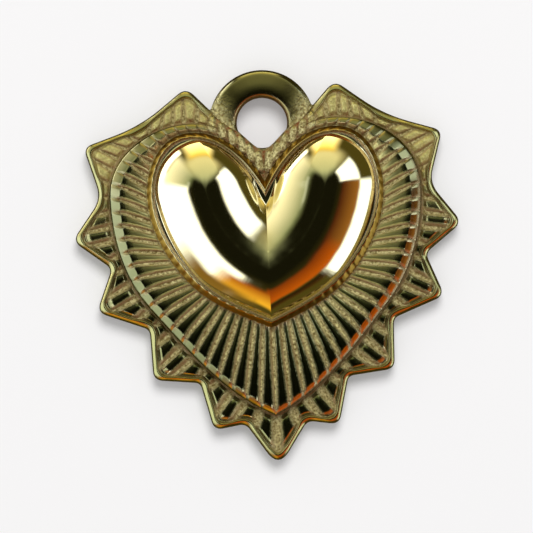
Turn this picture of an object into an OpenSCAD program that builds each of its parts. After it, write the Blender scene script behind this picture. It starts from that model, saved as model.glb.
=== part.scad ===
// Heart charm, cast in one piece: a flat-backed plate with a scalloped outline and an eyelet,
// a band of chiselled rays, beads below the eyelet and a polished puffed heart in the middle.
// The back lies on z = 0, the eyelet points along +Y and x = 0 is the mirror plane.

/* [Plate] */
// Width over the widest scallops
charm_w = 28.45; // [27.9:0.05:29]
// Thickness of the plate at its edge
plate_t = 1.3; // [1.1:0.05:1.35]
// Height of the smooth border that follows the outline
border_z = 1.75; // [1.6:0.05:1.9]
// Width of that border
border_w = 0.48; // [0.4:0.02:0.56]
// Height of the hollow floor inside the border
hollow_z = 1.4; // [1.25:0.05:1.5]
// Ledge of plate left outside the border
ledge_w = 0.12; // [0.1:0.01:0.2]

/* [Eyelet] */
// Middle of the eyelet above the middle of the charm
eye_y = 10.6; // [10.4:0.1:10.8]
// Radius of the eyelet
eye_r = 3.9; // [3.7:0.1:4.1]
// Radius of the hole
hole_r = 1.87; // [1.6:0.01:1.95]
// Height of the eyelet's face at the lip of the hole
eye_z = 2.1; // [1.9:0.05:2.3]
// How far the face of the eyelet falls away outward
eye_fall = 0.25; // [0.15:0.05:0.35]
// Width of the bevel round the outside of that face
eye_bevel = 0.35; // [0.25:0.05:0.5]

/* [Heart] */
// Half of the width of the rim round the heart
heart_w = 8.35; // [8.2:0.05:8.5]
// Height of the lobes of that rim
lobe_y = 9.75; // [9.6:0.05:9.9]
// Cleft of that rim
cleft_y = 5.4; // [5.1:0.05:5.7]
// Lower point of that rim
point_y = -4.15; // [-4.5:0.05:-3.9]
// Radius of the round cross-section of the puffed heart
dome_r = 4.95; // [4.6:0.05:5.4]
// Way from the ridge of the puffed heart to its edge
dome_reach = 3.7; // [3.5:0.05:3.9]
// Gap between the puffed heart and its rim
gap_w = 0.12; // [0.08:0.01:0.2]
// Height of the floor of the gap
gap_z = 2.4; // [2.2:0.05:2.5]
// Height of the rim
rim_z = 2.65; // [2.5:0.05:2.8]
// Width of the slope outside the rim
rim_w = 0.6; // [0.45:0.05:0.7]

/* [Rays] */
// Number of rays on each half
rays_n = 36; // [30:1:38]
// Height of the ray band
band_z = 2.5; // [2.35:0.05:2.6]
// Width of the band over the lobes
band_top_w = 0.65; // [0.55:0.05:0.8]
// Width of the band at the sides
band_side_w = 2.85; // [2.6:0.05:3]
// Width of the band at the lower point
band_point_w = 6.5; // [6.2:0.05:6.7]
// Width of the rounded shoulder at the foot of the rays over the lobes
shoulder_w = 1.25; // [1:0.05:1.5]
// Width of that shoulder at the lower point
shoulder_point_w = 0.35; // [0.3:0.05:0.6]
// How far the shoulder falls over each millimetre of that width
shoulder_fall = 0.65; // [0.4:0.05:0.7]
// Depth of the grooves between the rays where they start
groove_d = 0.2; // [0.15:0.01:0.3]
// Depth of the grooves in the scallops
scallop_d = 0.25; // [0.15:0.05:0.3]
// Number of beads on each side of the cleft, below the eyelet
beads_n = 6; // [5:1:7]
// Radius of a bead
bead_r = 0.33; // [0.25:0.01:0.36]
// Height of the floor that the beads lie on
cleft_z = 2.05; // [1.95:0.05:2.15]

/* [Hidden] */
$fn = 60;
brass = [0.71, 0.6, 0.3];

// The half outline of the scallops, from the eyelet to the lower point: each row holds x, y and the
// length of flank that its rounding takes.
outline = [
    [3.85, 11.75, 0.3],
    [5.55, 13.25, 0.8],
    [9.12, 10.9, 2.0],
    [13.2, 9.3, 0.7],
    [12.45, 5.6, 1.0],
    [14.3, 2.55, 0.8],
    [11.85, 0.3, 0.5],
    [12.75, -2.75, 0.8],
    [9.2, -4.4, 0.45],
    [8.85, -7.95, 0.7],
    [5.6, -8.55, 0.4],
    [4.55, -11.85, 0.7],
    [2.35, -11.75, 0.5],
    [0, -14.5, 1.5]
];

// Ends of the V-shaped ridge of the puffed heart, and the point that its bend leans to
ridge_lobe = [4.45, 5.9];
ridge_bend = [3.6, 1.6];
ridge_point = [0, -0.36];
ridge_steps = 10;
dome_middle = [0, 1];

// Curves. A knot is x, y and the heading in degrees; the piece between two knots is a cubic curve
// with handles as long as those of an arc that turns as much.
function unit(v) = v / norm(v);
function turn(a, b) = let (d = (b - a) % 360) abs(d > 180 ? d - 360 : d < -180 ? d + 360 : d);
function handle(a, b) =
    let (chord = norm([b[0] - a[0], b[1] - a[1]]), t = max(1, turn(a[2], b[2])))
    chord * 4 / 3 * tan(t / 4) / (2 * sin(t / 2));
function cubic(a, b, c, d, t) =
    pow(1 - t, 3) * a + 3 * t * pow(1 - t, 2) * b + 3 * t * t * (1 - t) * c + t * t * t * d;
function piece(a, b, t) =
    let (h = handle(a, b), p = [a[0], a[1]], q = [b[0], b[1]])
    cubic(p, p + h * [cos(a[2]), sin(a[2])], q - h * [cos(b[2]), sin(b[2])], q, t);
function curve(knots, steps = 24) = concat(
    [for (i = [0:len(knots) - 2], j = [0:steps - 1]) piece(knots[i], knots[i + 1], j / steps)],
    [[knots[len(knots) - 1][0], knots[len(knots) - 1][1]]]
);
// Each knot moved out to the left of its heading by its own amount
function spread(knots, d) = [
    for (i = [0:len(knots) - 1])
        let (k = knots[i], out = i == 0 ? [0, 1] : i == len(knots) - 1 ? [0, -1] : [-sin(k[2]), cos(k[2])])
        [k[0] + d[i] * out[0], k[1] + d[i] * out[1], k[2]]
];
function lengths(path, i = 0, sum = 0) =
    i == len(path) - 1 ? [sum] : concat([sum], lengths(path, i + 1, sum + norm(path[i + 1] - path[i])));
// Tables of x and y against the share of the way along a path
function tables(path) =
    let (s = lengths(path), total = s[len(s) - 1])
    [for (axis = [0, 1]) [for (i = [0:len(path) - 1]) [s[i] / total, path[i][axis]]]];
function along(table, f) = [lookup(f, table[0]), lookup(f, table[1])];

// The four heart-shaped contours, from the gap out to the foot of the ray band
rim_knots = [[0, cleft_y, 62], [5.3, lobe_y, 0], [heart_w, 5.55, -90], [5.7, -0.5, -130], [0, point_y, -156]];
gap_knots = spread(rim_knots, [-2.1 * gap_w, -gap_w, -gap_w, -gap_w, -gap_w]);
slope_knots = spread(rim_knots, [1.6, 0.65, 0.75, 1, 0.85] * rim_w);
// Width of the ray band at the cleft, and half way between its sides and its point
band_cleft_w = 0.3;
band_flank_w = 0.37 * (band_side_w + band_point_w);
foot_knots = spread(slope_knots, [band_cleft_w, band_top_w, band_side_w, band_flank_w, band_point_w]);
gap_path = tables(curve(gap_knots));
rim_path = tables(curve(rim_knots));
slope_path = tables(curve(slope_knots));
foot_path = tables(curve(foot_knots));

// How far the ray band dips where it meets the rim
band_dip = 0.25;

// Three columns to a ray: the middle of its groove and the two sides of the groove
cols = 3 * rays_n;
// How far the rays lean from the even spacing at the rim towards the lobes
ray_lean = 0.07;
function share(k, groove) =
    let (i = floor(k / 3), side = k % 3)
    (side == 0 ? i : side == 1 ? i + groove / 2 : i + 1 - groove / 2) / rays_n;
function lean(f) = f - ray_lean * sin(180 * f);

foot_points = [for (k = [0:cols]) along(foot_path, lean(share(k, 0.3)))];
function nearest_col(p) =
    let (d = [for (q = foot_points) norm(q - p)]) search(min(d), d)[0];

// The corners of the outline, as the sharp points that the rounding starts from
stretch = charm_w / (2 * max([for (row = outline) row[0]]));
function corner_point(i) = [outline[i][0] * (i == 0 ? 1 : stretch), outline[i][1]];
function corner(i) =
    let (
        p = corner_point(i),
        a = corner_point(max(i - 1, 0)),
        last = i == len(outline) - 1,
        b = last ? [-a[0], a[1]] : corner_point(i + 1)
    )
    i == 0 ? p : p - outline[i][2] / 4 * (unit(a - p) + unit(b - p));
corners = [for (i = [0:len(outline) - 1]) corner(i)];
function neighbour(i) =
    i < 0 ? corners[0] + [-1, -1] : i < len(corners) ? corners[i] : let (c = corners[len(corners) - 2]) [-c[0], c[1]];
// The rounding at corner i, from 0 to 1
function rounding(i, t) =
    let (
        c = corners[i],
        a = c + outline[i][2] * unit(neighbour(i - 1) - c),
        b = c + outline[i][2] * unit(neighbour(i + 1) - c)
    )
    (1 - t) * (1 - t) * a + 2 * t * (1 - t) * c + t * t * b;
// The way from the middle of corner i to the middle of the next
function flank(i, t) =
    t < 0.25 ? rounding(i, 0.5 + 2 * t)
    : t > 0.75 ? rounding(i + 1, 2 * t - 1.5)
    : let (s = 2 * t - 0.5) (1 - s) * rounding(i, 1) + s * rounding(i + 1, 0);
half_outline = concat(
    [[0, eye_y - 2], [2.5, eye_y - 1.5]],
    [for (i = [0:len(outline) - 2], j = [0:7]) flank(i, j / 8)],
    [rounding(len(outline) - 1, 0.5)]
);

// The line where the beads end against the face of the eyelet
collar_knots = [[0, eye_y - 2.1, 20], [2.1, eye_y - 0.45, 30], [corners[0][0], corners[0][1], 60]];
collar_path = tables(curve(collar_knots));
corner_cols = [for (i = [0:len(outline) - 1]) i == len(outline) - 1 ? cols : nearest_col(corner_point(i))];
eye_cols = corner_cols[0];
function edge_point(k, i = 0) =
    k <= eye_cols ? along(collar_path, k / eye_cols)
    : k > corner_cols[i + 1] ? edge_point(k, i + 1)
    : flank(i, (k - corner_cols[i]) / (corner_cols[i + 1] - corner_cols[i]));
edge_points = [for (k = [0:cols]) edge_point(k)];
// 1 in the cleft below the eyelet, 0 past it
function cleft(k) = let (t = min(1, max(0, (eye_cols + 3 - k) / 9))) t * t * (3 - 2 * t);

// Heights. The puffed heart falls away from its ridge as an arc does, down to the gap at its rim.
ridge = [
    for (i = [0:ridge_steps])
        let (t = i / ridge_steps) (1 - t) * (1 - t) * ridge_lobe + 2 * t * (1 - t) * ridge_bend + t * t * ridge_point
];
function to_segment(p, a, b) =
    let (t = min(1, max(0, (p - a) * (b - a) / ((b - a) * (b - a))))) norm(p - a - t * (b - a));
function to_ridge(p) = min([for (i = [0:ridge_steps - 1]) to_segment(p, ridge[i], ridge[i + 1])]);
function arc(d) = sqrt(pow(dome_r, 2) - pow(min(d, dome_r), 2));
function dome_point(k, s) =
    let (
        end = along(gap_path, share(k, 0.5)),
        p = dome_middle + s * (end - dome_middle),
        short = max(0, arc(to_ridge(end)) - arc(dome_reach)),
        rise = arc(to_ridge(p)) - arc(dome_reach) - short * pow(s, 6)
    )
    [p[0], p[1], gap_z + max(0, rise)];

dome_rows = [0.15, 0.3, 0.44, 0.57, 0.68, 0.78, 0.87, 0.94, 0.985];
// Rows of the ray band, as shares of the way to the shoulder, and then over the shoulder
ray_rows = [0.2, 0.45, 0.75, 1];
shoulder_rows = [0.5, 0.84, 1];
// Rows of the scallops, as shares of the way to the border
hollow_rows = [0.2, 0.8, 1];
// Rows over the border: the share of the way across it, and the share of its height
border_rows = [[0.35, 1], [0.75, 0.75], [1, 0.4]];

function is_groove(k) = k % 3 == 0 ? 1 : 0;
function flat_row(path, z) = [for (k = [0:cols]) let (p = along(path, share(k, 0.6))) [p[0], p[1], z]];
function mix(a, b, t) = a + t * (b - a);
function ease(t) = let (u = min(1, max(0, t))) u * u * (3 - 2 * u);
// The rays bend towards the lower point where they start at the rim, most of all at the sides
ray_bend = 0.03;
function bend(f, t) =
    f + ray_bend * sin(180 * min(1, max(0, (f - 0.38) / 0.6))) * pow(1 - t, 1.5);
function band_ends(k, groove, t = 1) =
    let (f = bend(share(k, groove), t)) [along(slope_path, f), along(foot_path, lean(f))];
// Share of the pitch that a groove takes: it swells and then runs to a point, like a spear
groove_tip = 0.08;
function spear(t) = groove_tip + 0.52 * (1 - pow(t, 1.4)) * mix(0.75, 1, ease(t / 0.25));
// Width of the shoulder, which takes no more than its share of a narrow band
shoulder_share = 0.6;
function shoulder_at(k, ends) =
    min(shoulder_share * norm(ends[1] - ends[0]), mix(shoulder_w, shoulder_point_w, k / cols));
function shoulder_start(k, ends) = 1 - shoulder_at(k, ends) / norm(ends[1] - ends[0]);
function ray_point(k, t) =
    let (
        ends = band_ends(k, spear(t), t),
        p = mix(ends[0], ends[1], t * shoulder_start(k, ends)),
        crest = band_z - band_dip * pow(1 - t, 2) - is_groove(k) * groove_d * mix(1, 0.3, pow(t, 3)),
        z = mix(crest, cleft_z, cleft(k))
    )
    [p[0], p[1], z];
function foot_z(k) = mix(hollow_z, cleft_z, cleft(k));
function shoulder_point(k, t) =
    let (
        ends = band_ends(k, groove_tip + 0.22 * t * t),
        p = mix(ends[0], ends[1], mix(shoulder_start(k, ends), 1, t)),
        fall = shoulder_fall * shoulder_at(k, ends) * mix(t, t * t, 0.54),
        crest = band_z - fall - is_groove(k) * groove_d * 0.3 * (1 - t),
        z = t == 1 ? foot_z(k) : mix(crest, cleft_z, cleft(k))
    )
    [p[0], p[1], z];
// Share of the pitch that a groove takes in the scallops
scallop_groove = 0.4;
function edge_ends(k, groove) = [along(foot_path, lean(share(k, groove))), edge_points[k]];
function border_start(ends) = 1 - min(0.6, (border_w + ledge_w) / norm(ends[1] - ends[0]));
function border_stop(ends) = 1 - ledge_w / norm(ends[1] - ends[0]);
function hollow_point(k, t) =
    let (
        ends = edge_ends(k, scallop_groove),
        p = mix(ends[0], ends[1], t * border_start(ends)),
        ridged = t == 1 ? 0 : 1 - cleft(k),
        z = foot_z(k) + ridged * (1 - is_groove(k)) * scallop_d
    )
    [p[0], p[1], z];
function border_point(k, row) =
    let (
        ends = edge_ends(k, scallop_groove),
        p = mix(ends[0], ends[1], mix(border_start(ends), border_stop(ends), row[0])),
        z = mix(mix(plate_t, border_z, row[1]), cleft_z, cleft(k))
    )
    [p[0], p[1], z];

// The relief is one closed skin: rings of points from the middle of the puffed heart outward
function whole(half) = concat(half, [for (i = [len(half) - 2:-1:1]) [-half[i][0], half[i][1], half[i][2]]]);
function coarse(s) = whole([for (i = [0:rays_n]) dome_point(3 * i, s)]);
rings = concat(
    [whole(flat_row(gap_path, gap_z))],
    [whole(flat_row(rim_path, rim_z))],
    [for (t = concat([0], ray_rows)) whole([for (k = [0:cols]) ray_point(k, t)])],
    [for (t = shoulder_rows) whole([for (k = [0:cols]) shoulder_point(k, t)])],
    [for (t = hollow_rows) whole([for (k = [0:cols]) hollow_point(k, t)])],
    [for (row = border_rows) whole([for (k = [0:cols]) border_point(k, row)])]
);
skirt = [for (p = rings[len(rings) - 1]) [p[0], p[1], plate_t / 2]];
dome_rings = [for (s = dome_rows) coarse(s)];
dome_n = 2 * rays_n;
ring_n = 2 * cols;
rings_at = 1 + len(dome_rows) * dome_n;
relief_points = concat(
    [dome_point_middle()],
    [for (r = dome_rings, p = r) p],
    [for (r = rings, p = r) p],
    skirt
);
function dome_point_middle() = dome_point(0, 0);
function strip(a, b, n) = [
    for (i = [0:n - 1])
        let (j = (i + 1) % n)
        each i < n / 2 ? [[a + i, b + i, b + j], [a + i, b + j, a + j]] : [[a + i, b + i, a + j], [b + i, b + j, a + j]]
];
// Each step of the last dome ring meets three steps of the ring outside it
function widen(a, b) = [
    for (i = [0:dome_n - 1])
        let (j = (i + 1) % dome_n, o = 3 * i)
        each [
            [a + i, b + o, b + o + 1],
            [a + i, b + o + 1, a + j],
            [a + j, b + o + 1, b + o + 2],
            [a + j, b + o + 2, b + (o + 3) % ring_n]
        ]
];
relief_faces = concat(
    [for (i = [0:dome_n - 1]) [0, 1 + i, 1 + (i + 1) % dome_n]],
    [for (r = [0:len(dome_rows) - 2]) each strip(1 + r * dome_n, 1 + (r + 1) * dome_n, dome_n)],
    widen(rings_at - dome_n, rings_at),
    [for (r = [0:len(rings) - 1]) each strip(rings_at + r * ring_n, rings_at + (r + 1) * ring_n, ring_n)],
    [[for (i = [ring_n - 1:-1:0]) rings_at + len(rings) * ring_n + i]]
);

// The plate reaches under the eyelet, so that the back is one flat face
module plate() {
    mirrored = [for (i = [len(half_outline) - 2:-1:1]) [-half_outline[i][0], half_outline[i][1]]];
    linear_extrude(plate_t) {
        polygon(concat(half_outline, mirrored));
        translate([0, eye_y]) circle(eye_r);
    }
}

module relief() {
    polyhedron(relief_points, relief_faces, convexity = 10);
}

// The eyelet's cross-section: a rounded lip at the hole, a flat crest, a gentle fall and a bevel
lip_w = 0.3;
lip_fall = 0.25;
crest_w = 0.7;
module eyelet() {
    translate([0, eye_y, 0])
        rotate([0, 0, -20])
            rotate_extrude(angle = 220)
                polygon([
                    [0, 0],
                    [eye_r, 0],
                    [eye_r, eye_z - eye_fall - eye_bevel],
                    [eye_r - eye_bevel, eye_z - eye_fall],
                    [hole_r + crest_w, eye_z],
                    [hole_r + lip_w, eye_z],
                    [hole_r, eye_z - lip_fall],
                    [0, eye_z - lip_fall]
                ]);
}

// A short raised bead that runs from the foot of the rim towards the eyelet
module bead(f) {
    a = along(slope_path, f * eye_cols / cols);
    b = along(collar_path, f);
    start = mix(a, b, 0.2);
    end = mix(a, b, 0.75);
    hull() {
        translate([start[0], start[1], cleft_z]) sphere(bead_r, $fn = 10);
        translate([end[0], end[1], cleft_z]) sphere(0.8 * bead_r, $fn = 8);
    }
}

module beads() {
    for (i = [0:beads_n - 1], side = [0, 1])
        mirror([side, 0, 0]) bead((i + 0.6) / beads_n);
}

// The hole is round with its lower sides cut flat, so that it ends in a blunt V at this many radii
hole_v = 1.25;
module hole() {
    translate([0, eye_y, -1])
        linear_extrude(eye_z + 2)
            intersection() {
                circle(hole_r);
                translate([0, -hole_r * hole_v]) rotate(45) square(4 * hole_r);
            }
}

module heart_charm() {
    color(brass)
        difference() {
            union() {
                plate();
                relief();
                eyelet();
                beads();
            }
            hole();
        }
}

heart_charm();
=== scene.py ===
"""Heart charm in cast brass: the fine relief, its finish, and the table and light it is shown on."""

import logging
import math
from dataclasses import dataclass, field
from enum import Enum
from functools import partial

import bpy
import numpy as np
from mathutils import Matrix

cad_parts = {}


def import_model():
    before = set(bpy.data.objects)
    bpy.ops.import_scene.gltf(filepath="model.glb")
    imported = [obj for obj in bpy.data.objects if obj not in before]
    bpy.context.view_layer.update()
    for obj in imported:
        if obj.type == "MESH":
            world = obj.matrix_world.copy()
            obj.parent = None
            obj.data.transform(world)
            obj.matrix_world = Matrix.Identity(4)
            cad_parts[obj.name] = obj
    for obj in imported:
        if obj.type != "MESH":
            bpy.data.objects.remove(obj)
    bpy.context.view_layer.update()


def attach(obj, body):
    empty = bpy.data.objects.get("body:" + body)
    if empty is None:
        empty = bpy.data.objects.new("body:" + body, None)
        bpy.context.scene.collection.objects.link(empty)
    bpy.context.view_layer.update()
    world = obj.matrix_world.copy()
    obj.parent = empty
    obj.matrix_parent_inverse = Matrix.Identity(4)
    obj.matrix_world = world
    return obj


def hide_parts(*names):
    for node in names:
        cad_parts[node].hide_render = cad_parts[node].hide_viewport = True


log = logging.getLogger("heart_charm")

MM = 0.001

Array = np.ndarray
Value = float | Array
Run = list[int]
Point = tuple[float, float]
Socket = bpy.types.NodeSocket


def linear(hex_colour: str, strength: float = 1.0) -> tuple[float, float, float, float]:
    """Turns an sRGB hex colour into a linear one.

    Args:
        hex_colour: six hex digits, with or without a leading hash.
        strength: what the linear colour is multiplied by.

    Returns:
        Red, green, blue and alpha as Blender's sockets take them.
    """
    digits = hex_colour.lstrip("#")
    srgb = [int(digits[i : i + 2], 16) / 255 for i in (0, 2, 4)]
    parts = [c / 12.92 if c <= 0.04045 else ((c + 0.055) / 1.055) ** 2.4 for c in srgb]
    return (*[c * strength for c in parts], 1.0)


def mix(a: Value, b: Value, t: Value) -> Value:
    """Goes from a to b by the share t."""
    return a + (b - a) * t


def smooth(t: Value) -> Value:
    """Eases t from 0 to 1 and holds it outside that range."""
    t = np.clip(t, 0, 1)
    return t * t * (3 - 2 * t)


def node(tree: bpy.types.NodeTree, kind: str, inputs: dict | None = None, **settings) -> bpy.types.Node:
    """Adds a node to a tree.

    Args:
        tree: the node tree to add to.
        kind: the node's Blender type, without the ShaderNode in front.
        inputs: for each input's name or number, the value to set or the socket to link. A node
            stands for its first output.
        settings: the node's own settings by name.

    Returns:
        The new node.
    """
    made = tree.nodes.new(f"ShaderNode{kind}")
    for name, value in settings.items():
        setattr(made, name, value)
    for name, value in (inputs or {}).items():
        if isinstance(value, bpy.types.Node):
            value = value.outputs[0]
        if isinstance(value, bpy.types.NodeSocket):
            tree.links.new(value, made.inputs[name])
        else:
            made.inputs[name].default_value = value
    return made


def nodes_of(owner: bpy.types.Material | bpy.types.World) -> partial:
    """Clears the nodes of a material or a world, and gives what adds new ones."""
    owner.use_nodes = True
    owner.node_tree.nodes.clear()
    return partial(node, owner.node_tree)


def link(name: str, data: bpy.types.ID) -> bpy.types.Object:
    """Puts a new object with that mesh, light or camera in the scene."""
    made = bpy.data.objects.new(name, data)
    bpy.context.scene.collection.objects.link(made)
    return made


# ---- The finishes ----


class Finish(Enum):
    """What lies on the brass at a place, and the painted light and shade laid into it, named as the mesh
    attribute that holds how much of it.
    """

    FILM_AND_HIGHLIGHT = "film"
    GRIT = "grit"
    RESIDUE_AND_SHADE = "residue"
    SATIN = "satin"
    DULL_AND_PAINTED_LIGHT = "dull"

    @property
    def column(self) -> int:
        """Gives the column of a row of points that holds this finish, after the three of its place."""
        return 3 + list(Finish).index(self)


@dataclass(frozen=True)
class Coat:
    """One state of the surface: its colour, its roughness and how much of it is bare metal."""

    tint: str
    rough: float
    metal: float = 1.0


@dataclass(frozen=True)
class AgedCastBrass:
    """Brass, lost-wax cast, buffed, and aged in a patina dip that was wiped off the high places.

    Buffing leaves the puffed heart mirror-bright, so that it shows the room. The film of the dip
    greens the flat work, cast sand stays rough in the grooves, and red-brown residue lies in corners.
    The cast skin and the residue are mostly oxide, which scatters light as paint does, so that they
    keep their colour where the polished brass turns dark. Light and shade are painted in as well: the
    film thins to bare brass as painted highlights, residue on slopes that face down is painted shade,
    and the paler worn coat, more of it at the top and sides, paints the light that falls there.
    """

    buffed: Coat = Coat("#F3E3AE", 0.07)
    filmed: Coat = Coat("#6B6C45", 0.14)
    satin: Coat = Coat("#866A2A", 0.3)
    worn_and_painted_light: Coat = Coat("#EBDD88", 0.5)
    cast: Coat = Coat("#F0E6A6", 0.45, 0.4)
    pitted: str = "#82703A"
    residue: Coat = Coat("#7C451E", 0.6, 0.3)
    grit_mm: float = 0.2
    grit_depth_mm: float = 0.24
    cloud_mm: float = 1.8
    dent_mm: float = 2.6
    dent_depth_mm: float = 0.02

    def build(self) -> bpy.types.Material:
        """Builds the material.

        Returns:
            The material of the whole casting.
        """
        material = bpy.data.materials.new("aged_cast_brass_buffed")
        add = nodes_of(material)
        laid = {finish: add("Attribute", attribute_name=finish.value).outputs["Fac"] for finish in Finish}
        place = add("TexCoord").outputs["Object"]

        # Cast sand, drawn at twice its true size of a tenth of a millimetre, so that it shows
        scale = 1 / (self.grit_mm * MM)
        sand = add("TexNoise", {"Vector": place, "Scale": scale, "Detail": 3.0, "Roughness": 0.6})
        # Cloudy unevenness of the dip, a millimetre or two across
        scale = 1 / (self.cloud_mm * MM)
        cloud = add("TexNoise", {"Vector": place, "Scale": scale, "Detail": 3.0, "Roughness": 0.55})
        film = add("MapRange", {"Value": cloud, "From Min": 0.35, "From Max": 0.65, "To Min": 0.96})
        # Where highlights are painted the film share is thinner, so that the buffed brass shows there
        film = add("Math", {0: film, 1: laid[Finish.FILM_AND_HIGHLIGHT]}, operation="MULTIPLY")
        # The residue clings in spots, and so does the painted shade laid into it
        spots = add("MapRange", {"Value": sand, "From Min": 0.38, "From Max": 0.62, "To Min": 0.35})
        stain = add("Math", {0: spots, 1: laid[Finish.RESIDUE_AND_SHADE]}, operation="MULTIPLY")
        # Between the grains of sand the cast skin stays dark
        grains = add("MapRange", {"Value": sand, "From Min": 0.38, "From Max": 0.62})
        dark, pale = linear(self.pitted), linear(self.cast.tint)
        cast = add("Mix", {0: grains, 6: dark, 7: pale}, data_type="RGBA").outputs[2]

        colour, rough, metal = linear(self.buffed.tint), self.buffed.rough, self.buffed.metal
        for share, coat, tint in (
            (film, self.filmed, linear(self.filmed.tint)),
            (laid[Finish.SATIN], self.satin, linear(self.satin.tint)),
            (laid[Finish.DULL_AND_PAINTED_LIGHT], self.worn_and_painted_light, linear(self.worn_and_painted_light.tint)),
            (laid[Finish.GRIT], self.cast, cast),
            (stain, self.residue, linear(self.residue.tint)),
        ):
            colour = add("Mix", {0: share, 6: colour, 7: tint}, data_type="RGBA").outputs[2]
            rough = add("Mix", {0: share, 2: rough, 3: coat.rough})
            metal = add("Mix", {0: share, 2: metal, 3: coat.metal})

        # Sand stands proud where the buff didn't reach; elsewhere only soft dents are left
        depth = add("Math", {0: laid[Finish.GRIT], 1: self.grit_depth_mm * MM}, operation="MULTIPLY")
        height = add("Math", {0: sand, 1: depth}, operation="MULTIPLY")
        dents = add("TexNoise", {"Vector": place, "Scale": 1 / (self.dent_mm * MM), "Detail": 2.0})
        depth = self.dent_depth_mm * MM
        height = add("Math", {0: dents, 1: depth, 2: height}, operation="MULTIPLY_ADD")
        bump = add("Bump", {"Height": height, "Strength": 1.0, "Distance": 1.0})
        laid_on = {"Base Color": colour, "Roughness": rough, "Metallic": metal, "Normal": bump}
        add("OutputMaterial", {"Surface": add("BsdfPrincipled", laid_on)})
        return material


@dataclass(frozen=True)
class PaperTable:
    """Heavy matt drawing paper, uncoated: an even pale ground that keeps a soft shadow.

    A little of its light is its own, which lightens the shadow as the walls of a white room would.
    """

    paper: str = "#F7F6F6"
    glow: float = 0.2
    mirrored: str = "#5A4F28"

    def build(self) -> bpy.types.Material:
        """Builds the material, which metal mirrors as the dark table that the photographed charm lay on."""
        material = bpy.data.materials.new("matt_drawing_paper")
        add = nodes_of(material)
        rays = add("LightPath")
        paper = add("BsdfDiffuse", {"Color": linear(self.paper)})
        light = add("Emission", {"Color": linear(self.paper), "Strength": 1.0})
        paper = add("MixShader", {0: self.glow, 1: paper, 2: light})
        mirrored = add("Emission", {"Color": linear(self.mirrored), "Strength": 1.0})
        seen = add("MixShader", {0: rays.outputs["Is Glossy Ray"], 1: paper, 2: mirrored})
        add("OutputMaterial", {"Surface": seen})
        return material


# ---- The contours ----


@dataclass(frozen=True)
class Knot:
    """A point that a contour passes through, and its heading there in degrees."""

    x: float
    y: float
    heading: float

    @property
    def way(self) -> Array:
        """Gives the heading as a vector."""
        turn = math.radians(self.heading)
        return np.array([math.cos(turn), math.sin(turn)])


@dataclass
class Contour:
    """A smooth half contour, measured along its length."""

    knots: tuple[Knot, ...]
    steps: int = 60
    points: Array = field(init=False)
    shares: Array = field(init=False)

    def __post_init__(self) -> None:
        """Draws the curve and measures it."""
        runs = [self._piece(a, b) for a, b in zip(self.knots, self.knots[1:])]
        last = self.knots[-1]
        self.points = np.vstack([*runs, [[last.x, last.y]]])
        gone = np.cumsum(np.hypot(*np.diff(self.points, axis=0).T))
        self.shares = np.concatenate([[0.0], gone]) / gone[-1]

    def _piece(self, a: Knot, b: Knot) -> Array:
        """Draws the cubic piece between two knots, with the handles of an arc that turns as much."""
        start, end = np.array([a.x, a.y]), np.array([b.x, b.y])
        turn = math.radians(max(1.0, abs((b.heading - a.heading + 180) % 360 - 180)))
        reach = np.linalg.norm(end - start) * 4 / 3 * math.tan(turn / 4) / (2 * math.sin(turn / 2))
        t = np.linspace(0, 1, self.steps, endpoint=False)[:, None]
        return (
            (1 - t) ** 3 * start
            + 3 * t * (1 - t) ** 2 * (start + reach * a.way)
            + 3 * t**2 * (1 - t) * (end - reach * b.way)
            + t**3 * end
        )

    def at(self, share: Array) -> Array:
        """Gives the points at the given shares of the contour's length."""
        return np.stack([np.interp(share, self.shares, self.points[:, i]) for i in (0, 1)], -1)

    def spread(self, widths: list[float]) -> "Contour":
        """Gives the contour with each knot moved out by its own width."""
        ways = [(-k.way[1], k.way[0]) for k in self.knots]
        # Both ends stay on the mirror plane
        ways[0], ways[-1] = (0.0, 1.0), (0.0, -1.0)
        moved = zip(self.knots, widths, ways)
        return Contour(tuple(Knot(k.x + w * x, k.y + w * y, k.heading) for k, w, (x, y) in moved), self.steps)


@dataclass
class Scallops:
    """The half outline, from the eyelet to the lower point."""

    corners: tuple[tuple[float, float, float], ...]
    width: float
    sharp: Array = field(init=False)

    def __post_init__(self) -> None:
        """Finds the sharp corners that the rounding starts from."""
        p, cuts = np.split(np.array(self.corners), [2], axis=1)
        p[1:, 0] *= self.width / (2 * p[:, 0].max())
        sharp = [p[0]]
        for i in range(1, len(p)):
            before = p[i - 1]
            after = p[i + 1] if i + 1 < len(p) else before * [-1, 1]
            pull = self._unit(before - p[i]) + self._unit(after - p[i])
            sharp.append(p[i] - cuts[i] / 4 * pull)
        self.sharp = np.array(sharp)

    @staticmethod
    def _unit(v: Array) -> Array:
        """Scales a vector to length 1."""
        return v / np.linalg.norm(v)

    def _neighbour(self, i: int) -> Array:
        """Gives corner i, also just past either end."""
        if i < 0:
            return self.sharp[0] - 1
        return self.sharp[i] if i < len(self.sharp) else self.sharp[-2] * [-1, 1]

    def rounding(self, i: int, t: float) -> Array:
        """Gives a point of the rounding at corner i, from 0 to 1."""
        c, cut = self.sharp[i], self.corners[i][2]
        a = c + cut * self._unit(self._neighbour(i - 1) - c)
        b = c + cut * self._unit(self._neighbour(i + 1) - c)
        return (1 - t) ** 2 * a + 2 * t * (1 - t) * c + t * t * b

    def flank(self, i: int, t: float) -> Array:
        """Gives a point on the way from the middle of corner i to the middle of the next."""
        if t < 0.25:
            return self.rounding(i, 0.5 + 2 * t)
        if t > 0.75:
            return self.rounding(i + 1, 2 * t - 1.5)
        return mix(self.rounding(i, 1), self.rounding(i + 1, 0), 2 * t - 0.5)


# ---- The casting ----


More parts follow.
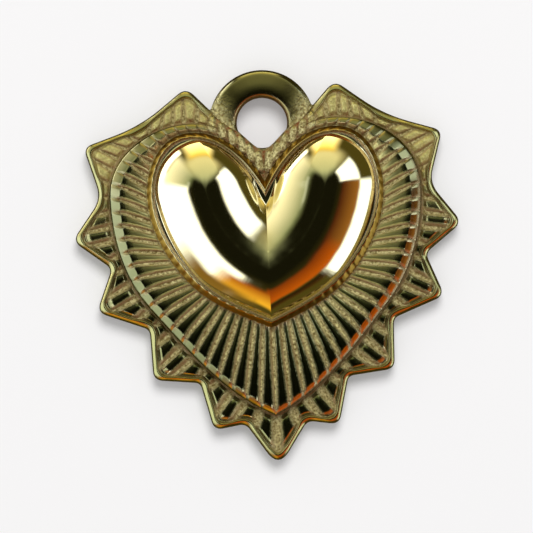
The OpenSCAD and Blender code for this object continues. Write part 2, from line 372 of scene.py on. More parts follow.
@dataclass
class Skin:
    """A mesh that grows row by row, in millimetres, with how much of each finish lies at each point."""

    rows: list[Array] = field(default_factory=list)
    faces: list[Run] = field(default_factory=list)
    count: int = 0

    @staticmethod
    def row(p: Array, z: Value, **laid: Value) -> Array:
        """Makes a row of points.

        Args:
            p: the places seen from the front.
            z: the heights.
            laid: how much of each finish lies there, from 0 to 1, by the finish's name.

        Returns:
            One line for each point: its place, its height and each finish in turn.
        """
        columns = (z, *(laid.get(finish.value, 0.0) for finish in Finish))
        return np.column_stack([p, *(np.broadcast_to(np.ravel(v), len(p)) for v in columns)])

    def add(self, row: Array) -> Run:
        """Adds a row and gives the numbers of its points."""
        start = self.count
        self.rows.append(row)
        self.count += len(row)
        return list(range(start, self.count))

    def band(self, upper: Run, lower: Run) -> None:
        """Joins two open runs of as many points."""
        for i in range(len(upper) - 1):
            self.faces.append([upper[i], upper[i + 1], lower[i + 1], lower[i]])

    def loop(self, upper: Run, lower: Run) -> None:
        """Joins two closed runs of as many points."""
        self.band(upper + upper[:1], lower + lower[:1])

    def object(self, name: str) -> bpy.types.Object:
        """Makes the Blender object of that name, in metres, with an attribute for each finish."""
        table = np.vstack(self.rows)
        mesh = bpy.data.meshes.new(name)
        mesh.from_pydata((table[:, :3] * MM).tolist(), [], self.faces)
        for finish in Finish:
            layer = mesh.attributes.new(finish.value, "FLOAT", "POINT")
            layer.data.foreach_set("value", np.clip(table[:, finish.column], 0, 1).astype(np.float32))
        mesh.validate()
        mesh.shade_smooth()
        return link(name, mesh)


@dataclass(frozen=True)
class PuffedHeart:
    """The heart in the middle: a round cross-section along a V-shaped ridge, in millimetres."""

    section_r: float = 4.95
    reach: float = 3.7
    ridge_lobe: Point = (4.45, 5.9)
    ridge_bend: Point = (3.6, 1.6)
    ridge_point: Point = (0.0, -0.36)
    ridge_steps: int = 40
    # How late on the way out the height gives way to an edge that lies near the ridge
    edge_power: int = 6

    @staticmethod
    def _away(p: Array, line: Array) -> Array:
        """Gives how far the points p are from a line of many points."""
        a, run = line[:-1], np.diff(line, axis=0)
        off = p[:, None, :] - a[None]
        t = np.clip(np.sum(off * run, axis=-1) / np.sum(run * run, axis=-1), 0, 1)
        return np.min(np.linalg.norm(off - t[..., None] * run, axis=-1), axis=1)

    def _arc(self, away: Value) -> Value:
        """Gives the height of the round cross-section at some way from its ridge."""
        return np.sqrt(self.section_r**2 - np.clip(away, 0, self.section_r) ** 2)

    def height(self, p: Array, end: Array, s: float) -> Array:
        """Gives how far the puffed heart stands above its edge.

        Args:
            p: the points asked for, at the share s of the way out.
            end: the point of the heart's edge that each of them heads for.
            s: the share of the way from the middle to the edge.

        Returns:
            The heights, which are 0 at the edge and along the floor of the cleft.
        """
        t = np.linspace(0, 1, self.ridge_steps)[:, None]
        lobe, bend, point = (np.array(at) for at in (self.ridge_lobe, self.ridge_bend, self.ridge_point))
        ridge = (1 - t) ** 2 * lobe + 2 * t * (1 - t) * bend + t * t * point
        low = self._arc(self.reach)
        short = np.clip(self._arc(self._away(end, ridge)) - low, 0, None)
        return np.clip(self._arc(self._away(p, ridge)) - low - short * s**self.edge_power, 0, None)


@dataclass(frozen=True)
class Eyelet:
    """The eyelet at the top: a face that falls outward, and a hole with flattened lower sides."""

    y: float = 10.6
    r: float = 3.9
    z: float = 2.1
    fall: float = 0.14
    crest_w: float = 0.7
    lip_w: float = 0.3
    lip_fall: float = 0.25
    bevel_w: float = 0.35
    bevel_fall: float = 0.3
    hole_r: float = 1.87
    hole_flat: float = 1.25

    @property
    def middle(self) -> Array:
        """Gives the middle of the hole."""
        return np.array([0.0, self.y])

    def face(self, r: Value, hole: Value = 0.0) -> Value:
        """Gives the height of the face at the distance r from the middle of a hole of that radius."""
        lip = self.lip_fall * np.clip(1 - (r - hole) / self.lip_w, 0, 1) ** 2
        flat = self.hole_r + self.crest_w
        fall = self.fall * np.clip((r - flat) / (self.r - self.bevel_w - flat), 0, 1) ** 1.3
        bevel = np.clip((r - self.r) / self.bevel_w + 1, 0, 1) ** 1.5 * self.bevel_fall
        return self.z - lip - fall - bevel

    def hole(self, way: Array) -> Array:
        """Gives the radius of the hole in each direction: a circle with its lower sides cut to a V."""
        flat = np.clip((np.abs(way[:, 0]) - way[:, 1]) / math.sqrt(2), 1e-6, None)
        return np.minimum(self.hole_r, self.hole_flat * self.hole_r * math.sin(math.pi / 4) / flat)


@dataclass(frozen=True)
class Flank:
    """Slopes that face one way, and how strongly painted light or shade marks them, as thinned film or
    residue.

    facing is in degrees from the charm's right towards its eyelet. The mark starts where the cosine
    to it is near and the tilt in degrees is steep, and is whole past soft and rise more of them.
    """

    facing: float
    near: float
    soft: float
    steep: float
    rise: float
    amount: float

    def mark(self, azimuth: Array, tilt: Array) -> Array:
        """Gives each point's mark from the way it faces, in radians, and its tilt in degrees."""
        turned = smooth((np.cos(azimuth - math.radians(self.facing)) - self.near) / self.soft)
        return self.amount * turned * smooth((tilt - self.steep) / self.rise)


@dataclass
class HeartCasting:
    """The one cast piece. Every size is in millimetres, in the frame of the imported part.

    A row of its mesh follows a heart-shaped contour, and its columns run outward across the rows.
    Each ray has per_ray columns, of which the first and the last third lie in its two grooves.
    """

    width: float = 28.45
    plate_t: float = 1.3
    border_z: float = 1.75
    border_w: float = 0.6
    hollow_z: float = 1.4
    gap_w: float = 0.12
    gap_z: float = 2.4
    rim_z: float = 2.65
    rim_w: float = 0.6
    rays_n: int = 36
    ray_lean: float = 0.07
    ray_bend: float = 0.03
    band_z: float = 2.5
    band_dip: float = 0.25
    band_cleft_w: float = 0.3
    band_top_w: float = 0.65
    band_side_w: float = 2.85
    band_flank_share: float = 0.37
    band_point_w: float = 6.5
    shoulder_w: float = 1.25
    shoulder_point_w: float = 0.5
    shoulder_fall: float = 0.5
    shoulder_nick: float = 0.05
    groove_d: float = 0.2
    groove_round: float = 1.8
    crown_z: float = 0.02
    scallop_d: float = 0.25
    beads_n: int = 6
    bead_r: float = 0.33
    cleft_z: float = 2.05
    back_bevel: float = 0.12
    per_ray: int = 10
    arc_cols: int = 120

    puffed: PuffedHeart = PuffedHeart()
    eyelet: Eyelet = Eyelet()

    rim_knots: tuple[Knot, ...] = (
        Knot(0, 5.4, 62), Knot(5.3, 9.75, 0), Knot(8.35, 5.55, -90),
        Knot(5.7, -0.5, -130), Knot(0, -4.15, -156),
    )
    # Share of the rim's slope at each of those knots
    slope_shares: tuple[float, ...] = (1.6, 0.65, 0.75, 1, 0.85)
    # Where the scalloped outline turns: x, y, and how much of either flank the rounding takes
    corners: tuple[tuple[float, float, float], ...] = (
        (3.85, 11.75, 0.3), (5.55, 13.25, 0.8), (9.12, 10.9, 2.0), (13.2, 9.3, 0.7), (12.45, 5.6, 1.0),
        (14.3, 2.55, 0.8), (11.85, 0.3, 0.5), (12.75, -2.75, 0.8), (9.2, -4.4, 0.45), (8.85, -7.95, 0.7),
        (5.6, -8.55, 0.4), (4.55, -11.85, 0.7), (2.35, -11.75, 0.5), (0, -14.5, 1.5),
    )

    # Where the dome's columns, the side wall's bevel and the back's rings head for
    middle: Point = (0.0, 1.0)
    back_middle: Point = (0.0, 3.0)

    # Cross-sections, each row as the share of the way out and the share of the height
    rim_rise: tuple = ((0.35, 0.15), (0.6, 0.55), (0.85, 0.9), (1.0, 1.0))
    rim_fall: tuple = ((0.12, 1.0), (0.25, 0.93), (0.5, 0.66), (0.75, 0.33), (0.9, 0.12))
    border: tuple = (
        (0.08, 0.3), (0.16, 0.75), (0.24, 0.97), (0.32, 1), (0.45, 0.95),
        (0.58, 0.88), (0.7, 0.8), (0.82, 0.69), (0.92, 0.54), (0.98, 0.33),
    )
    shoulder: tuple[float, ...] = (0.06, 0.15, 0.3, 0.5, 0.7, 0.85, 0.92, 1.0)
    eye_rings: tuple[float, ...] = (0.0, 0.03, 0.07, 0.12, 0.2, 0.35, 0.5, 0.65, 0.8, 0.92, 1.0)
    # Millimetres inward from the eyelet's edge, on the way out over its bevel
    eye_bevel: tuple[float, ...] = (0.31, 0.26, 0.2, 0.13, 0.06, 0.02)

    # The broken edges of the grooves, where sand and residue hold
    edge_share: float = 0.45
    # Painted light by facing: slopes facing the warm cards or the pale window lose their film, as painted
    # reflections and highlights of bare brass, and slopes facing down and to the lower right take residue as
    # painted shade
    painted_warm_reflection: Flank = Flank(-65, 0.35, 0.4, 9, 8, 0.85)
    pale: Flank = Flank(150, 0.85, 0.12, 10, 8, 0.2)
    painted_shade_low: Flank = Flank(-40, 0.3, 0.3, 28, 4, 0.6)
    painted_shade_in_sand: Flank = Flank(-80, 0.45, 0.35, 16, 10, 0.9)

    def __post_init__(self) -> None:
        """Draws the contours and places the columns of the mesh."""
        self.rim = Contour(self.rim_knots)
        self.gap = self.rim.spread([-2.1 * self.gap_w] + [-self.gap_w] * 4)
        self.slope = self.rim.spread([self.rim_w * s for s in self.slope_shares])
        flank_w = (self.band_side_w + self.band_point_w) * self.band_flank_share
        self.foot = self.slope.spread(
            [self.band_cleft_w, self.band_top_w, self.band_side_w, flank_w, self.band_point_w]
        )
        self.outline = Scallops(self.corners, self.width)
        self.cols = self.rays_n * self.per_ray
        self.col = np.arange(self.cols + 1)
        # Each corner of the outline takes the column that meets the foot nearest to it
        foot = self.foot.at(self._lean(self._share(0.3)))
        marks = [int(np.argmin(np.hypot(*(foot - p).T))) for p in self.outline.sharp]
        marks[-1] = self.cols
        self.eye_cols = marks[0]
        first, eye_y = self.outline.sharp[0], self.eyelet.y
        self.collar = Contour((Knot(0, eye_y - 2.1, 20), Knot(2.1, eye_y - 0.45, 30), Knot(*first, 60)))
        self.edge = self._edge(marks)
        # 1 in the cleft below the eyelet, and 0 where the rays are
        self.cleft = smooth((self.eye_cols + self.per_ray - self.col) / (3 * self.per_ray))
        self.rays = 1 - self.cleft
        self._sections()

    def _sections(self) -> None:
        """Finds the cross-section of the rays along a row.

        dip is 1 at the middle of a groove and 0 on the faces, crown is 1 along the middle of a face
        and 0 at its edges and in the grooves, and brink is 1 along the edges alone.
        """
        half = self.per_ray // 3
        j = self.col % self.per_ray
        self.dip = np.clip(1 - (np.minimum(j, self.per_ray - j) / half) ** self.groove_round, 0, 1)
        x = (j - self.per_ray / 2) / (self.per_ray / 2 - half)
        self.crown = np.clip(1 - x**2, 0, 1)
        self.brink = (self.dip == 0) * (self.crown == 0) * 1.0

    def _share(self, groove: float) -> Array:
        """Gives each column's share of a contour's length, where grooves take that share of the pitch."""
        half = self.per_ray // 3
        bounds = [0, half, self.per_ray - half, self.per_ray]
        at = np.interp(self.col % self.per_ray, bounds, [0, groove / 2, 1 - groove / 2, 1])
        return (self.col // self.per_ray + at) / self.rays_n

    def _lean(self, share: Array) -> Array:
        """Shifts the outer ends of the rays towards the lobes."""
        return share - self.ray_lean * np.sin(np.pi * share)

    def _bend(self, share: Array, t: float) -> Array:
        """Bends the rays towards the lower point where they start at the rim, most of all at the sides."""
        return share + self.ray_bend * np.sin(np.pi * np.clip((share - 0.38) / 0.6, 0, 1)) * (1 - t) ** 1.5

    @staticmethod
    def _spear(t: float) -> float:
        """Gives the grooves' share of the pitch at t of the way out: they swell, then run to a point."""
        return 0.08 + 0.46 * (1 - t**1.4) * mix(0.75, 1, float(smooth(t / 0.25)))

    def _edge(self, marks: Run) -> Array:
        """Gives each column's point on the collar of the eyelet or on the outline."""
        points = np.zeros((self.cols + 1, 2))
        points[: self.eye_cols + 1] = self.collar.at(np.linspace(0, 1, self.eye_cols + 1))
        for i, (a, b) in enumerate(zip(marks, marks[1:])):
            for k in range(a, b + 1):
                points[k] = self.outline.flank(i, (k - a) / (b - a))
        return points

    def _edge_at(self, share: Array) -> Array:
        """Gives the points of the outer edge at the given shares of the columns."""
        return np.stack([np.interp(share * self.cols, self.col, self.edge[:, i]) for i in (0, 1)], -1)

    def _shoulder(self, inner: Array, outer: Array) -> tuple[Array, Array]:
        """Gives the share of the band's width where its rounded shoulder starts, and the shoulder's width."""
        width = np.linalg.norm(outer - inner, axis=1)
        across = np.minimum(0.6 * width, mix(self.shoulder_w, self.shoulder_point_w, self.col / self.cols))
        return (1 - across / width)[:, None], across

    def dome_rows(self) -> list[Array]:
        """Builds the rows of the puffed heart, from near its middle to the floor of the gap."""
        middle = np.array(self.middle)
        end = self.gap.at(self._share(0.5))
        rows = []
        # The rows lie closer towards the edge, where the heart falls away
        for s in np.sin(np.linspace(0.008, 1, 44) * np.pi / 2):
            p = mix(middle, end, s)
            z = self.gap_z + self.puffed.height(p, end, s)
            rows.append(Skin.row(p, z, residue=smooth((s - 0.985) / 0.015) * 0.8))
        return rows

    def rim_rows(self) -> list[Array]:
        """Builds the rim: up from the gap, over a narrow round crest and down the outer slope."""
        share = self._share(0.6)
        gap, rim, slope = self.gap.at(share), self.rim.at(share), self.slope.at(share)
        foot = mix(self.band_z - self.band_dip, self.cleft_z, self.cleft)
        rows = []
        for t, z in self.rim_rise:
            height = mix(self.gap_z, self.rim_z, z)
            rows.append(Skin.row(mix(gap, rim, t), height, film=0.5, satin=0.5 * t, residue=0.7 * (1 - t)))
        for t, z in self.rim_fall:
            wave = 0.05 * self.dip * self.rays * math.sin(math.pi * t)
            height = mix(foot, self.rim_z, z) - wave
            stain = 0.3 * max(0, t - 0.5)
            rows.append(Skin.row(mix(rim, slope, t), height, film=0.2, satin=min(1.0, t * 4), residue=stain))
        return rows

    def _relief(self, p: Array, z: Value, grit: Value, residue: Value, dull: Value = 0.0) -> Array:
        """Makes a filmed row of the relief, which gives way to a sandy floor at the cleft."""
        grit, residue = np.maximum(grit, self.cleft), residue * self.rays
        height = mix(z, self.cleft_z, self.cleft)
        return Skin.row(p, height, film=1, grit=grit, residue=residue, dull=dull)

    def ray_rows(self) -> list[Array]:
        """Builds the ray band with its spear-shaped grooves, out to its shoulder."""
        along = self.col / self.cols
        # Wear, and painted light: the pale worn coat lies near the top and at the sides, and sand near the
        # top, so that they show lighter where the light falls
        upper = 1 - smooth((along - 0.2) / 0.25)
        sides = 0.55 * (1 - smooth((along - 0.6) / 0.25))
        edge = self.edge_share * self.brink
        sand = np.maximum(np.clip(edge + self.dip * 3, 0, 1), 0.5 * upper)
        rows = []
        for t in np.linspace(0, 1, 18):
            share = self._bend(self._share(self._spear(t)), t)
            inner, outer = self.slope.at(share), self.foot.at(self._lean(share))
            p = mix(inner, outer, t * self._shoulder(inner, outer)[0])
            groove = self.dip * self.groove_d * mix(1, 0.25, t**3)
            crest = self.band_z - self.band_dip * (1 - t) ** 2 - groove + self.crown_z * self.crown
            # Residue lies along the rim and the edges, and deep in the grooves of the upper half
            deep = 0.3 * self.dip**2 * (1 - smooth((along - 0.45) / 0.3)) * smooth(t / 0.3)
            at_rim = self.edge_share * (1 - t / 0.08) if t < 0.08 else 0
            stain = np.maximum(np.maximum(edge, at_rim), deep)
            rows.append(self._relief(p, crest, sand, stain, np.maximum(upper, sides) * smooth((1 - t) / 0.3)))
        return rows

    def shoulder_rows(self) -> list[Array]:
        """Builds the rounded shoulder at the foot of the rays, and the steep fall below it."""
        rows = []
        for t in self.shoulder:
            share = self._share(0.08 + 0.22 * t**2)
            inner, outer = self.slope.at(share), self.foot.at(self._lean(share))
            start, across = self._shoulder(inner, outer)
            slope = self.band_z - self.shoulder_fall * across * mix(t, t**2, 0.54)
            steep = smooth((t - 0.86) / 0.14)
            nick = self.dip * self.shoulder_nick * (1 - t) * (1 - steep)
            stain = 0.8 * np.maximum(np.maximum(self.dip, self.brink) * (1 - t) ** 2, steep)
            z = mix(slope - nick, self.hollow_z, steep)
            rows.append(self._relief(mix(inner, outer, mix(start, 1, t)), z, 0.5 * steep, stain))
        return rows

    def _border_start(self) -> tuple[Array, Array]:
        """Gives each column's point at the foot, and the share of the way out where the border starts."""
        inner = self.foot.at(self._lean(self._share(0.4)))
        width = np.linalg.norm(self.edge - inner, axis=1, keepdims=True)
        return inner, 1 - np.minimum(0.6, self.border_w / width)

    def hollow_rows(self) -> list[Array]:
        """Builds the scallops' hollows, with raised bars between gritty valleys."""
        start = self._border_start()[1]
        # Wear, and painted light from above: the pale worn coat and the sand lie more thickly towards the top
        lower = smooth((9 - self.edge[:, 1]) / 8)
        worn_and_painted_light = mix(0.9, 0.4, lower) * np.clip(self.dip + 1 - 0.8 * lower, 0, 1)
        sand = np.maximum(np.clip(self.edge_share * self.brink + 2 * self.dip, 0, 0.9), 0.3 * (1 - lower))
        rows = []
        for t in np.linspace(0, 1, 12)[1:]:
            bump = smooth(t / 0.25) * smooth((1 - t) / 0.2)
            share = self._share(mix(0.5, 0.24, t))
            p = mix(self.foot.at(self._lean(share)), self._edge_at(share), t * start)
            z = self.hollow_z + bump * (1 - self.dip) * mix(0.8, 1, self.crown) * self.scallop_d
            low = np.maximum(self.dip, 1 - bump)
            stain = np.maximum(0.25 * low, mix(0.8, 0.4, lower) * self.brink)
            rows.append(self._relief(p, z, sand, stain, worn_and_painted_light))
        return rows

    def border_rows(self) -> list[Array]:
        """Builds the smooth border round the scallops. At the cleft it becomes the face of the eyelet."""
        inner, start = self._border_start()
        face = self.eyelet.face(np.linalg.norm(self.edge - self.eyelet.middle, axis=1))
        share = self._share(0.24)
        foot, edge = self.foot.at(self._lean(share)), self._edge_at(share)
        floor = mix(self.hollow_z, self.cleft_z, self.cleft)
        rows = []
        for t, z in self.border:
            p = mix(mix(foot, inner, t), mix(edge, self.edge, min(1.0, t / 0.9)), mix(start, 1, t))
            top = mix(floor if t < 0.3 else self.plate_t, self.border_z, z)
            height = mix(top, mix(self.cleft_z, face, t), self.cleft)
            stain = 0.5 * (t < 0.2) * self.rays
            rows.append(Skin.row(p, height, film=1, grit=self.cleft * (1 - t), residue=stain, dull=0.25))
        return rows

    def beads(self, p: Array) -> Array:
        """Gives how far the beads below the eyelet stand up at the points p of one half."""
        height = np.zeros(len(p))
        for i in range(self.beads_n):
            f = (i + 0.6) / self.beads_n
            a = self.slope.at(np.array([f * self.eye_cols / self.cols]))[0]
            b = self.collar.at(np.array([f]))[0]
            start, end = mix(a, b, 0.2), mix(a, b, 0.75)
            run = end - start
            t = np.clip(((p - start) @ run) / (run @ run), 0, 1)
            away = np.linalg.norm(p - start - t[:, None] * run, axis=1)
            r = self.bead_r * mix(1, 0.8, t)
            height = np.maximum(height, np.sqrt(np.clip(r**2 - away**2, 0, None)))
        return height

    @staticmethod
    def _whole(half: Array) -> Array:
        """Adds the mirrored half of a row, so that it closes."""
        other = half[-2:0:-1].copy()
        other[:, 0] *= -1
        return np.vstack([half, other])

    def _paint_light_by_facing(self, mesh: bpy.types.Mesh, band: slice) -> None:
        """Paints light and shade by the way each point faces.

        The film thins as painted highlights of bare brass, and residue is laid as painted shade below
        the band's shoulder and on sandy slopes that face down.

        Args:
            mesh: the finished mesh.
            band: the numbers of the points of the ray band and its shoulder.
        """
        count = len(mesh.vertices)
        normal, place = np.empty(3 * count), np.empty(3 * count)
        mesh.vertices.foreach_get("normal", normal)
        mesh.vertices.foreach_get("co", place)
        laid = {finish: np.empty(count) for finish in (Finish.FILM_AND_HIGHLIGHT, Finish.GRIT, Finish.RESIDUE_AND_SHADE)}
        for finish, values in laid.items():
            mesh.attributes[finish.value].data.foreach_get("value", values)
        x, y, z = normal.reshape(-1, 3).T
        facing, tilt = np.arctan2(y, x), np.degrees(np.arccos(np.clip(z, -1, 1)))

        film, stain = laid[Finish.FILM_AND_HIGHLIGHT], laid[Finish.RESIDUE_AND_SHADE]
        # Painted shade: residue on steep slopes of the band that face the lower right, and on sandy slopes
        # that face down
        stain[band] = np.maximum(stain, self.painted_shade_low.mark(facing, tilt))[band]
        stain = np.maximum(stain, self.painted_shade_in_sand.mark(facing, tilt) * (laid[Finish.GRIT] > 0.2))
        # Painted reflections: the film gives way on gentle slopes facing the warm cards, and on slopes facing
        # the pale window
        painted_warm_reflection = self.painted_warm_reflection.mark(facing, tilt) * smooth((33 - tilt) / 5)
        # Painted light from above: the film thins a little towards the eyelet, so that the top shows lighter
        painted_top_light = 0.08 * smooth((place.reshape(-1, 3)[:, 1] / MM + 6) / 11)
        film *= (1 - painted_top_light) * (1 - painted_warm_reflection) * (1 - self.pale.mark(facing, tilt))
        for finish, values in ((Finish.FILM_AND_HIGHLIGHT, film), (Finish.RESIDUE_AND_SHADE, stain)):
            mesh.attributes[finish.value].data.foreach_set("value", values.astype(np.float32))

    def build(self) -> bpy.types.Object:
        """Builds the whole casting as one closed mesh.

        Returns:
            The new object.
        """
        skin = Skin()
        heart, band = self.dome_rows() + self.rim_rows(), self.ray_rows() + self.shoulder_rows()
        last = []
        for row in heart + band + self.hollow_rows() + self.border_rows():
            raised = self.beads(row[:, :2])
            row[:, 2] += raised * self.cleft
            # Residue lies between the beads
            sandy = row[:, Finish.GRIT.column] > 0
            row[:, Finish.RESIDUE_AND_SHADE.column] += self.cleft * smooth(1 - raised / 0.2) * sandy
            here = skin.add(self._whole(row))
            if last:
                skin.loop(last, here)
            else:
                middle = skin.add(Skin.row(np.array([self.middle]), row[:, 2].mean()))
                skin.faces += [middle + [b, a] for a, b in zip(here, here[1:] + here[:1])]
            last = here
        self._close(skin, last)
        charm = skin.object("heart_casting")
        # One point, the middle, was added after the first row
        n = len(last)
        self._paint_light_by_facing(charm.data, slice(len(heart) * n + 1, (len(heart) + len(band)) * n + 1))
        return charm

    def _close(self, skin: Skin, last: Run) -> None:
        """Adds the side walls, the eyelet and the flat back to the relief.

        Args:
            skin: the mesh so far.
            last: the points of the relief's outermost row.
        """
        e, n = self.eye_cols, len(last)
        edge = self._whole(Skin.row(self.edge, 0.0))[:, :2]
        around = list(range(e, n - e + 1))
        # The collar runs from left to right through the cleft
        collar = [k % n for k in range(n - e, n + e + 1)]
        walls = self._side_walls(skin, edge[around], [last[k] for k in around])
        lips, back_collar = self._eye(skin, edge[collar], [last[k] for k in collar])
        # The arc's wall meets the side wall in a narrow corner on either side
        for column, corner in ((0, back_collar[-1]), (-1, back_collar[0])):
            loop = [w[column] for w in walls] + [corner] + [lip[column] for lip in reversed(lips)]
            skin.faces.append(loop if column == 0 else loop[::-1])
        self._back(skin, walls[-1], back_collar)

    def _side_walls(self, skin: Skin, edge: Array, top: Run) -> list[Run]:
        """Builds the side wall along the edge, from its top run to the back, and gives all its runs."""
        to_middle = np.array(self.middle) - edge
        to_middle /= np.linalg.norm(to_middle, axis=1, keepdims=True)
        walls = [top]
        # The wall ends in a small rounding at the back
        for inward, z in ((0.0, self.plate_t - 0.1), (0.0, self.back_bevel), (self.back_bevel, 0.0)):
            walls.append(skin.add(Skin.row(edge + to_middle * inward, z, film=1)))
            skin.band(walls[-2], walls[-1])
        return walls

    def _eye(self, skin: Skin, collar_xy: Array, collar: Run) -> tuple[list[Run], Run]:
        """Builds the eyelet: its face, its hole, and its free wall above the scallops.

        Args:
            skin: the mesh so far.
            collar_xy: the collar from left to right through the cleft, seen from the front.
            collar: the points of the relief along it.

        Returns:
            The runs of the free arc from front to back, and the points of the collar on the back.
        """
        eye = self.eyelet
        # Round the eyelet: the collar through the cleft, then the free arc back
        right = math.atan2(*(collar_xy[-1] - eye.middle)[::-1])
        arc = np.linspace(right, math.pi - right, self.arc_cols)[1:-1]
        free = eye.middle + eye.r * np.column_stack([np.cos(arc), np.sin(arc)])
        round_xy = np.vstack([collar_xy, free])
        on_arc = np.arange(len(round_xy)) >= len(collar)
        reach = np.linalg.norm(round_xy - eye.middle, axis=1)
        way = (round_xy - eye.middle) / reach[:, None]
        hole = eye.hole(way)

        def ring(radius: Array, z: Value, **laid: Value) -> Run:
            """Adds one ring of the eyelet."""
            return skin.add(Skin.row(eye.middle + way * radius[:, None], z, **laid))

        # The buff reached only the top of the eyelet
        sandy = 0.85 * smooth((0.75 - way[:, 1]) / 0.6)
        rings = []
        for t in self.eye_rings:
            radius = mix(hole + 0.03, np.where(on_arc, eye.r - eye.bevel_w, reach - 0.05), t)
            stain = 0.8 * max(0, 1 - t / 0.12)
            face = eye.face(radius, hole)
            rings.append(ring(radius, face, film=1, grit=sandy * t, residue=stain, satin=0.4))
        profile = [(inward, eye.face(eye.r - inward)) for inward in self.eye_bevel]
        profile += [(0.0, eye.face(eye.r) - 0.1), (0.0, self.back_bevel), (self.back_bevel, 0.0)]
        lips = []
        for inward, z in profile:
            grit = sandy[on_arc] * (inward > 0)
            p = eye.middle + way[on_arc] * (eye.r - inward)
            lips.append(skin.add(Skin.row(p, z, film=1, grit=grit)))
        for a, b in zip(rings, rings[1:]):
            skin.loop(b, a)
        skin.loop(collar + lips[0], rings[-1])
        for a, b in zip(lips, lips[1:]):
            skin.band(b, a)
        wall = [rings[0], ring(hole, eye.face(hole, hole) - 0.2, film=1, residue=0.9)]
        wall += [ring(hole, self.back_bevel, film=1, residue=0.9), ring(hole + self.back_bevel, 0.0, film=1)]
        for a, b in zip(wall, wall[1:]):
            skin.loop(a, b)
        back_collar = skin.add(Skin.row(collar_xy, 0.0, film=1))
        skin.loop(wall[-1], back_collar + lips[-1])
        return lips, back_collar

    def _back(self, skin: Skin, back_wall: Run, back_collar: Run) -> None:
        """Closes the flat back, with rings that shrink from the side wall and the collar to its middle."""
        half = len(back_collar) // 2
        outer = back_collar[half:] + back_wall + back_collar[:half]
        points, middle = np.vstack(skin.rows)[outer], np.array(self.back_middle)
        for s in (0.6, 0.25):
            inner = skin.add(np.column_stack([mix(middle, points[:, :2], s), points[:, 2:]]))
            skin.loop(outer, inner)
            outer = inner
        centre = skin.add(Skin.row(middle[None], 0.0, film=1))
        skin.faces += [centre + [a, b] for a, b in zip(outer, outer[1:] + outer[:1])]

    def dress(self, charm: bpy.types.Object) -> None:
        """Gives the casting its finish."""
        charm.data.materials.append(AgedCastBrass().build())


# ---- The studio ----


@dataclass(frozen=True)
class Panel:
    """A card or window of the studio that the metal mirrors, as part of the sky.

    Its azimuth is in degrees from the charm's right towards its eyelet, and it reaches spread degrees
    to either side. near and far are its nearest and farthest degrees from straight up; its colour goes
    from one to the other. Its edges are soft degrees wide.
    """

    name: str
    azimuth: float
    spread: float
    near: float
    far: float
    near_hex: str
    near_power: float
    far_hex: str
    far_power: float
    soft: float = 4.0


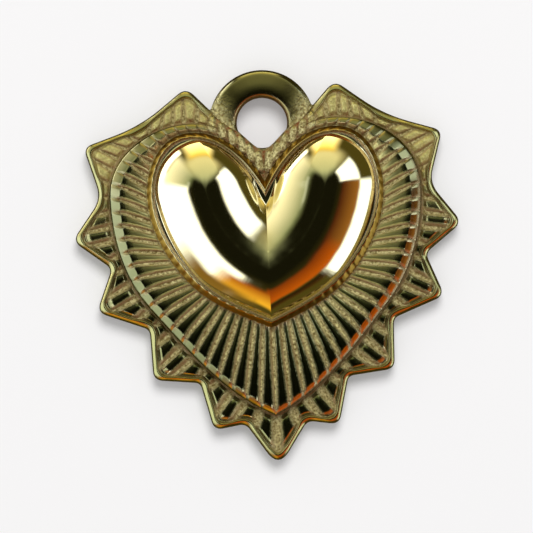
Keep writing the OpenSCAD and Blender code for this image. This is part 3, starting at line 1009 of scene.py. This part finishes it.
@dataclass
class Studio:
    """The table, the light and the camera."""

    frame_px: int = 533
    px_per_mm: float = 13.5
    turn_deg: float = 2.8
    shift_px: Point = (2.4, 1.0)
    camera_far: float = 0.45
    table_side: float = 3.0
    table_z: float = -0.01 * MM
    lamp_at: tuple[float, float, float] = (0.08, 0.46, 0.84)
    lamp_size: float = 0.5
    lamp_watts: float = 6.2
    plain: float = 0.45
    backdrop: str = "#F8F6F7"
    zenith: str = "#14150A"
    horizon: str = "#504A20"
    # Degrees from straight up at which the zenith's colour ends and the horizon's starts
    zenith_to: float = 20.0
    horizon_from: float = 60.0
    panels: tuple[Panel, ...] = (
        Panel("window_left", 195, 40, 30, 104, "#E4EEFF", 2.6, "#DDEBFF", 2.8),
        Panel("window_upper_left", 148, 22, 28, 78, "#8FA080", 1.0, "#FFFFF0", 1.5, 7.0),
        Panel("lamp_upper_left", 142, 20, 80, 94, "#FFFFFF", 4.0, "#FFFFFF", 3.0, 3.0),
        Panel("window_top_wide", 90, 38, 22, 60, "#C9D8B8", 0.9, "#F0ECC0", 1.2, 14.0),
        Panel("window_top", 90, 25, 13, 60, "#C9D8B8", 0.9, "#F0ECC0", 1.2, 14.0),
        Panel("lamp_top", 92, 22, 60, 96, "#FFD93A", 1.2, "#FFF6C8", 3.0, 7.0),
        Panel("window_right", 24, 20, 27, 64, "#E4EEFF", 2.6, "#DDEBFF", 2.6),
        Panel("warm_card_right", -20, 24, 30, 64, "#4A2010", 1.0, "#9E6C31", 1.1),
        Panel("warm_card_low", -68, 36, 34, 62, "#7A3810", 1.1, "#C4600F", 1.1),
        Panel("glow_low_left", 245, 20, 42, 78, "#B05A14", 1.0, "#FFC840", 1.2, 7.0),
        Panel("dark_low", -60, 24, 66, 78, "#1E1206", 1.0, "#4A3414", 1.0),
        Panel("window_low_right", -20, 24, 64, 90, "#E4EEFF", 2.6, "#DDEBFF", 2.6),
        Panel("brass_tray", 225, 16, 68, 120, "#84652D", 1.0, "#9E833C", 1.0, 8.0),
    )

    def build(self) -> None:
        """Builds the table, the lamp, the sky and the camera."""
        self._table()
        self._lamp()
        self._sky()
        self._camera()

    def _table(self) -> None:
        """Builds the pale table that the charm lies on."""
        mesh = bpy.data.meshes.new("table")
        s = self.table_side / 2
        mesh.from_pydata([(-s, -s, 0), (s, -s, 0), (s, s, 0), (-s, s, 0)], [], [(0, 1, 2, 3)])
        mesh.materials.append(PaperTable().build())
        table = link("table", mesh)
        table.location.z = self.table_z

    def _lamp(self) -> None:
        """Builds the soft lamp that throws the shadow. Metal mirrors the sky's own lamps instead."""
        data = bpy.data.lights.new("soft_key", "AREA")
        data.shape = "DISK"
        data.size = self.lamp_size
        data.energy = self.lamp_watts
        lamp = link("soft_key", data)
        lamp.location = self.lamp_at
        lamp.rotation_euler = (-lamp.location).to_track_quat("-Z", "Y").to_euler()
        lamp.visible_glossy = False

    def _sky(self) -> None:
        """Builds the world: pale to the camera, the studio to the metal, plain white light to the rest."""
        world = bpy.data.worlds.new("studio")
        bpy.context.scene.world = world
        add = nodes_of(world)
        way = add("TexCoord").outputs["Generated"]
        up = add("SeparateXYZ", {0: way}).outputs["Z"]
        angle = add("Math", {0: up}, operation="ARCCOSINE")
        angle = add("Math", {0: angle}, operation="DEGREES")
        rise = add("MapRange", {"Value": angle, "From Min": self.zenith_to, "From Max": self.horizon_from})
        low, high = linear(self.zenith), linear(self.horizon)
        sky = add("Mix", {0: rise, 6: low, 7: high}, data_type="RGBA").outputs[2]
        for panel in self.panels:
            sky = self._hang(add, panel, way, angle, sky)
        rays = add("LightPath")
        camera, clear = rays.outputs["Is Camera Ray"], rays.outputs["Is Transmission Ray"]
        seen = add("Math", {0: camera, 1: clear}, operation="MAXIMUM")
        plain = add("Background", {"Color": linear("#FFFFFF"), "Strength": self.plain})
        mirrored = add("Background", {"Color": sky, "Strength": 1.0})
        pale = add("Background", {"Color": linear(self.backdrop), "Strength": 1.0})
        shader = add("MixShader", {0: rays.outputs["Is Glossy Ray"], 1: plain, 2: mirrored})
        add("OutputWorld", {"Surface": add("MixShader", {0: seen, 1: shader, 2: pale})})

    @staticmethod
    def _hang(add: partial, panel: Panel, way: Socket, angle: bpy.types.Node, sky: Socket) -> Socket:
        """Hangs one panel in the sky.

        Args:
            add: adds a node to the world's nodes.
            panel: the panel to hang.
            way: the socket of the direction looked in.
            angle: the node of its angle from straight up, in degrees.
            sky: the socket of the sky's colour so far.

        Returns:
            The socket of the sky's colour with the panel in it.
        """
        turn = math.radians(-panel.azimuth)
        turned = add("VectorRotate", {"Vector": way, "Angle": turn}, rotation_type="Z_AXIS")
        split = add("SeparateXYZ", {0: turned}).outputs
        aside = add("Math", {0: split["Y"], 1: split["X"]}, operation="ARCTAN2")
        for step in ("ABSOLUTE", "DEGREES"):
            aside = add("Math", {0: aside}, operation=step)
        cover = None
        for degrees, at, soft in (
            (aside, panel.spread, -panel.soft),
            (angle, panel.near, panel.soft),
            (angle, panel.far, -panel.soft),
        ):
            ends = {"Value": degrees, "From Min": at - soft, "From Max": at + soft}
            side = add("MapRange", ends, interpolation_type="SMOOTHSTEP")
            cover = add("Math", {0: cover, 1: side}, operation="MULTIPLY") if cover else side
        along = add("MapRange", {"Value": angle, "From Min": panel.near, "From Max": panel.far})
        near, far = linear(panel.near_hex, panel.near_power), linear(panel.far_hex, panel.far_power)
        colour = add("Mix", {0: along, 6: near, 7: far}, data_type="RGBA").outputs[2]
        return add("Mix", {0: cover, 6: sky, 7: colour}, data_type="RGBA").outputs[2]

    def _camera(self) -> None:
        """Builds the camera, straight above the charm, which lies a little turned in the picture."""
        data = bpy.data.cameras.new("camera")
        width = self.frame_px / self.px_per_mm * MM
        data.sensor_width = 36
        data.lens = data.sensor_width * self.camera_far / width
        data.clip_start = 0.01
        data.clip_end = 10
        camera = link("camera", data)
        turn = math.radians(-self.turn_deg)
        across, up = (s / self.px_per_mm * MM for s in self.shift_px)
        # It stands camera_far above the middle heights of the relief
        camera.location = (
            -across * math.cos(turn) + up * math.sin(turn),
            -across * math.sin(turn) - up * math.cos(turn),
            self.camera_far + 2 * MM,
        )
        camera.rotation_euler = (0, 0, turn)
        bpy.context.scene.camera = camera
        bpy.context.scene.view_settings.view_transform = "Standard"


def main() -> None:
    """Builds the charm and everything it is shown with."""
    logging.basicConfig(level=logging.INFO, format="%(name)s: %(message)s")
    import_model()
    casting = HeartCasting()
    charm = casting.build()
    casting.dress(charm)
    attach(charm, "root")
    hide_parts("heart_charm")
    log.info("%s: %d faces", charm.name, len(charm.data.polygons))
    Studio().build()


if __name__ == "__main__":
    main()
